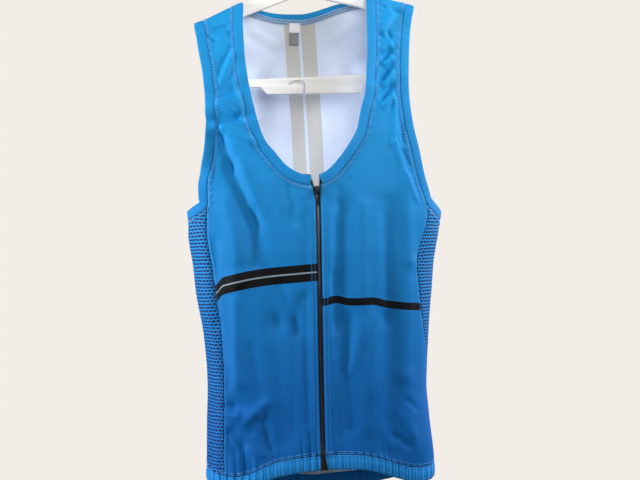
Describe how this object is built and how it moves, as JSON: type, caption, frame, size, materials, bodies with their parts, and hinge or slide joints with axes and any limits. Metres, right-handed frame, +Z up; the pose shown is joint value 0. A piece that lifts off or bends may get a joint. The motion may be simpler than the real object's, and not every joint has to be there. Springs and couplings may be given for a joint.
{
  "type": "cycling tank top on a plastic hanger",
  "caption": "Sleeveless zip-front cycling top with scoop neck, bound armholes, mesh side panels and an elastic hem, hanging filled out on a plastic hanger.",
  "frame": {"origin": "inner top of the hanger's hook, where a rail carries it", "axes": "+Z up, -Y the garment's front, +X to the wearer's left"},
  "size_m": [0.3192, 0.1084, 0.6989],
  "materials": {
    "knit": "matt printed polyester knit",
    "mesh": "open polyester mesh",
    "binding": "folded knit strip",
    "elastic": "ribbed elastic",
    "zip_tape": "woven tape with nylon coil",
    "zip_metal": "satin",
    "white_label": "woven satin",
    "grey_label": "printed satin",
    "hanger_plastic": "satin white"
  },
  "bodies": {
    "garment": {"front_right": "knit", "front_left": "knit", "back": "knit", "side_right": "mesh", "side_left": "mesh", "neck_binding": "binding", "armhole_binding_right": "binding", "armhole_binding_left": "binding", "hem_gripper": "elastic", "zip_half_right": "zip_tape", "zip_half_left": "zip_tape", "zip_slider": "zip_metal", "neck_label": "white_label", "care_label": "grey_label", "hanger": "hanger_plastic"},
    "zip_pull": {"zip_pull": "zip_metal"}
  },
  "joints": [
    {"name": "pull_tab_hinge", "type": "hinge", "parent": "garment", "child": "zip_pull", "pos_m": [-0.0004, -0.05592, -0.314], "axis": [-1, 0, 0], "range_deg": [0, 160]}
  ]
}
